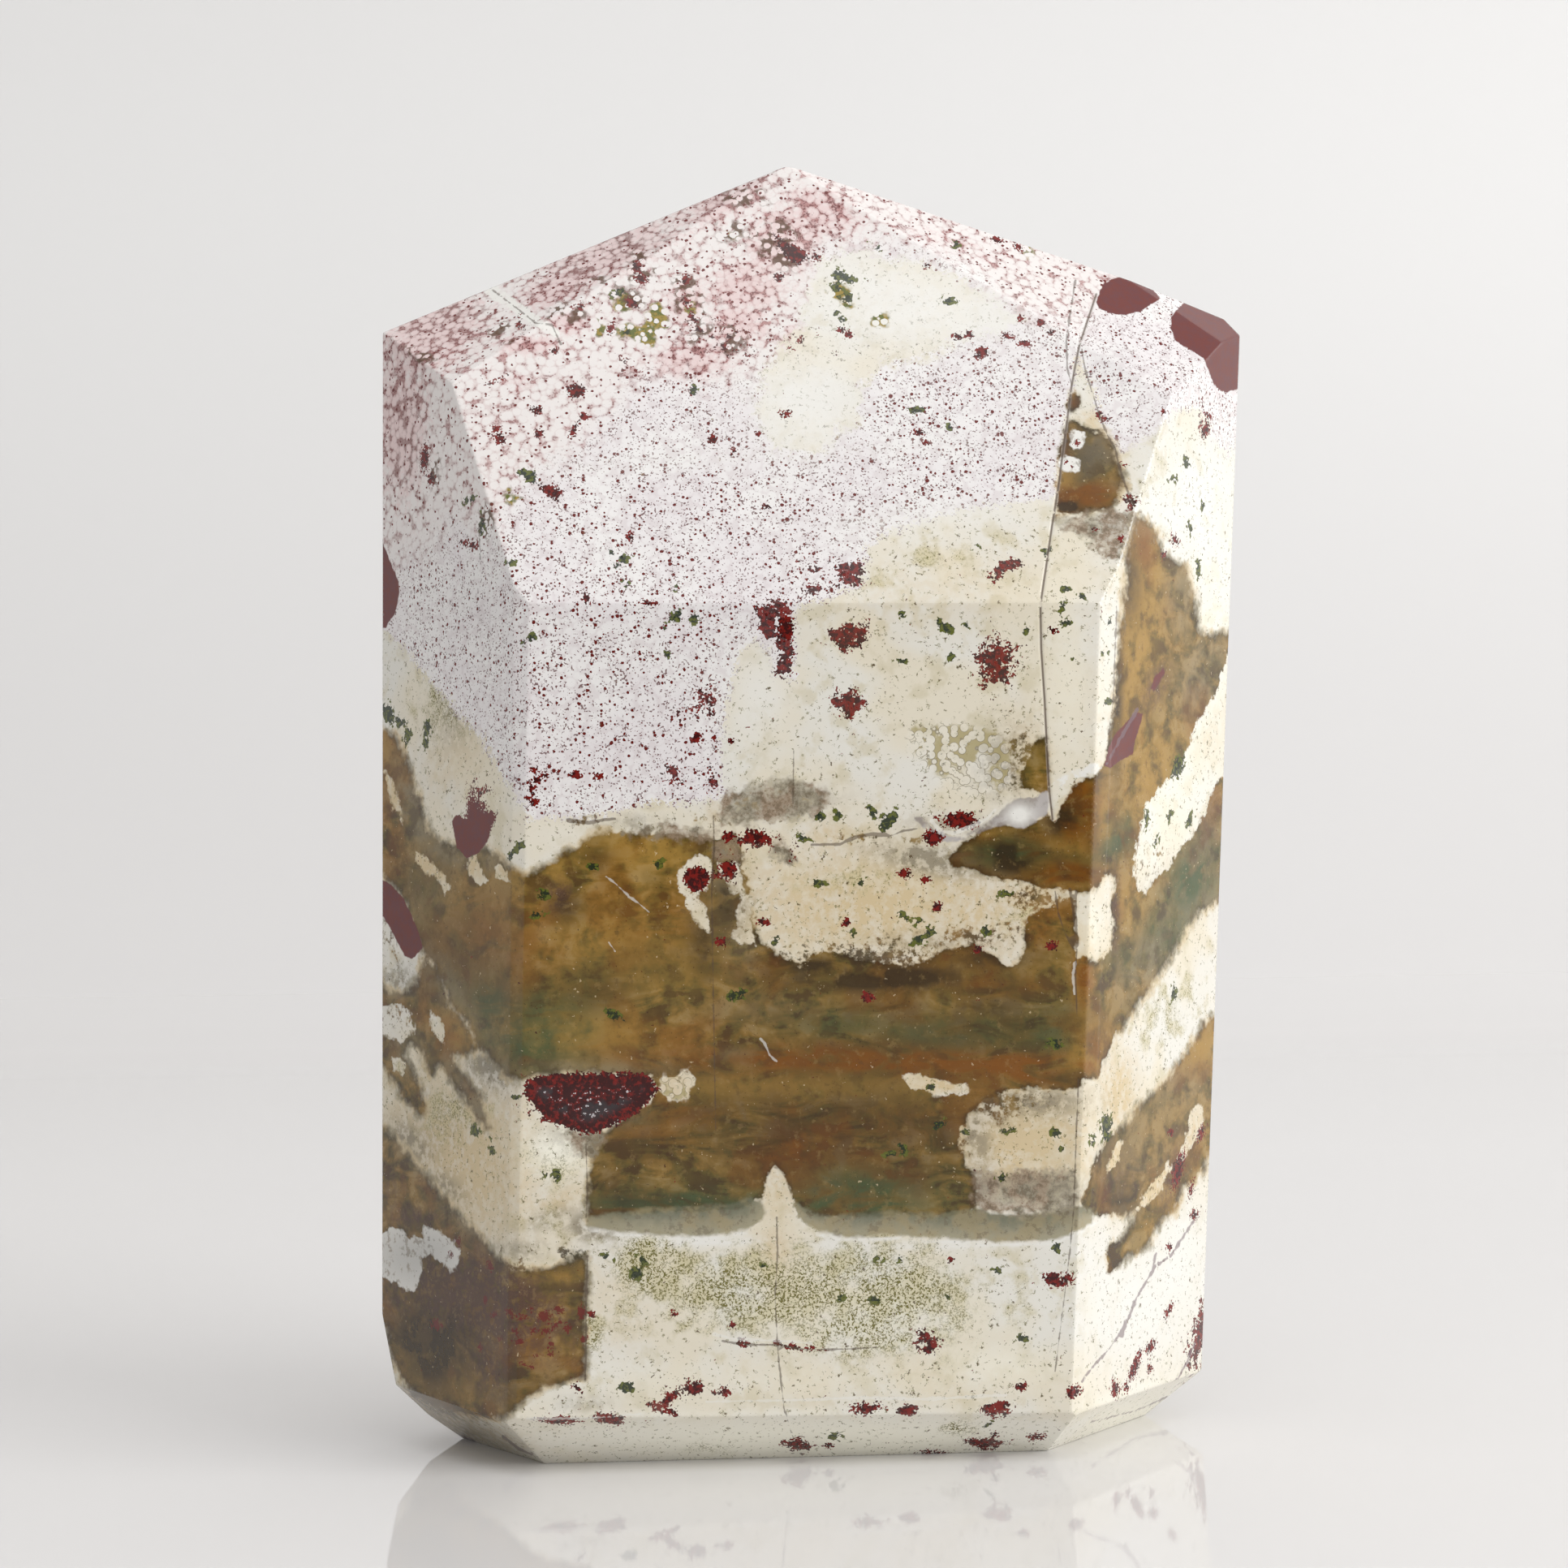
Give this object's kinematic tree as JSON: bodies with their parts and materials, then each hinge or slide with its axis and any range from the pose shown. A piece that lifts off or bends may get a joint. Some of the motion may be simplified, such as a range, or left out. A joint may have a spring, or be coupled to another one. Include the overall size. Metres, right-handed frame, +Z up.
{
  "type": "polished stone tower",
  "caption": "Flattened prism-shaped tower of polished, patterned jasper with a faceted pointed top and a bevelled flat foot.",
  "frame": {"origin": "on the resting plane, under the middle of the stone's box", "axes": "+Z up from the foot to the tip, -Y out of the wide front face, +X to the viewer's right"},
  "size_m": [0.0762, 0.0369, 0.11],
  "materials": {
    "stone": "polished, glossy"
  },
  "bodies": {
    "root": {"jasper_tower": "stone"}
  },
  "joints": []
}
